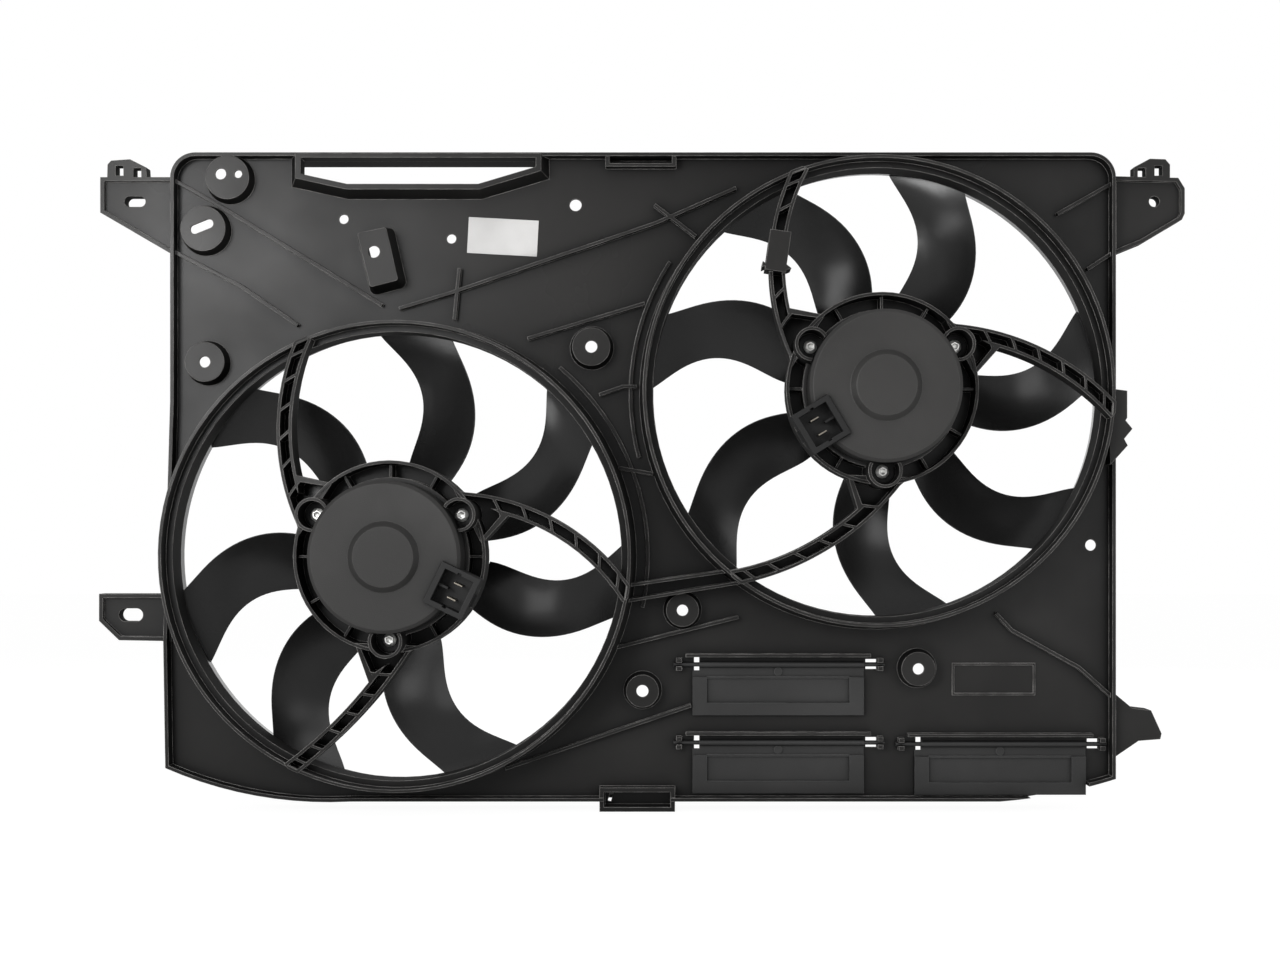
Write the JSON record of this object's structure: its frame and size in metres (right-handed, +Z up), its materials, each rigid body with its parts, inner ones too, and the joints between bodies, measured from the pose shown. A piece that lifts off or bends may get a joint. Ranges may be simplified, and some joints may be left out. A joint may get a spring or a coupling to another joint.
{
  "type": "dual radiator cooling fan assembly",
  "caption": "Moulded shroud carrying swept-blade cooling fans with electric motors on curved arms, mounting tabs, and hinged ram-air flaps.",
  "frame": {"origin": "midway between the two upper mounting holes, on the engine-side face of the panel", "axes": "+X to the right as seen from the engine, +Y toward the radiator, +Z up"},
  "size_m": [0.8015, 0.1316, 0.4845],
  "materials": {
    "black_plastic": "satin black glass-filled moulding",
    "fan_plastic": "satin black moulding",
    "flap_plastic": "satin dark grey moulding",
    "motor_paint": "satin dark grey",
    "steel": "zinc-plated",
    "core_steel": "laminated sheet",
    "copper": "enamelled winding wire",
    "brass": "tinned brass",
    "ferrite": "sintered",
    "carbon": "pressed carbon",
    "bronze": "sintered",
    "connector_plastic": "satin black",
    "card_plastic": "moulded phenolic",
    "label_white": "blank printed-film sticker"
  },
  "bodies": {
    "shroud_body": {"label": "label_white", "left_bearing_front": "bronze", "left_bearing_rear": "bronze", "left_brush_a": "carbon", "left_brush_b": "carbon", "left_brush_card": "card_plastic", "left_connector": "connector_plastic", "left_end_cap": "motor_paint", "left_magnet_lower": "ferrite", "left_magnet_upper": "ferrite", "left_motor_can": "motor_paint", "left_motor_flange": "motor_paint", "left_motor_screws": "steel", "left_spring_a": "steel", "left_spring_b": "steel", "left_terminal_a": "brass", "left_terminal_b": "brass", "right_bearing_front": "bronze", "right_bearing_rear": "bronze", "right_brush_a": "carbon", "right_brush_b": "carbon", "right_brush_card": "card_plastic", "right_connector": "connector_plastic", "right_end_cap": "motor_paint", "right_magnet_lower": "ferrite", "right_magnet_upper": "ferrite", "right_motor_can": "motor_paint", "right_motor_flange": "motor_paint", "right_motor_screws": "steel", "right_spring_a": "steel", "right_spring_b": "steel", "right_terminal_a": "brass", "right_terminal_b": "brass", "shroud": "black_plastic"},
    "left_rotor": {"left_fan": "fan_plastic", "left_fan_clip": "steel", "left_shaft": "steel", "left_armature_core": "core_steel", "left_winding": "copper", "left_commutator": "brass"},
    "right_rotor": {"right_fan": "fan_plastic", "right_fan_clip": "steel", "right_shaft": "steel", "right_armature_core": "core_steel", "right_winding": "copper", "right_commutator": "brass"},
    "flap_upper_body": {"flap_upper": "flap_plastic"},
    "flap_lower_left_body": {"flap_lower_left": "flap_plastic"},
    "flap_lower_right_body": {"flap_lower_right": "flap_plastic"}
  },
  "joints": [
    {"name": "left_fan_spin", "type": "hinge", "parent": "shroud_body", "child": "left_rotor", "pos_m": [-0.1796, 0, -0.2623], "axis": [0, -1, 0], "continuous": true},
    {"name": "right_fan_spin", "type": "hinge", "parent": "shroud_body", "child": "right_rotor", "pos_m": [0.1697, 0, -0.143], "axis": [0, -1, 0], "continuous": true},
    {"name": "flap_upper_swing", "type": "hinge", "parent": "shroud_body", "child": "flap_upper_body", "pos_m": [0.0987, -0.0034, -0.3423], "axis": [-1, 0, 0], "range_deg": [0, 80]},
    {"name": "flap_lower_left_swing", "type": "hinge", "parent": "shroud_body", "child": "flap_lower_left_body", "pos_m": [0.0987, -0.0034, -0.4], "axis": [-1, 0, 0], "range_deg": [0, 80]},
    {"name": "flap_lower_right_swing", "type": "hinge", "parent": "shroud_body", "child": "flap_lower_right_body", "pos_m": [0.2626, -0.0034, -0.4011], "axis": [-1, 0, 0], "range_deg": [0, 80]}
  ]
}
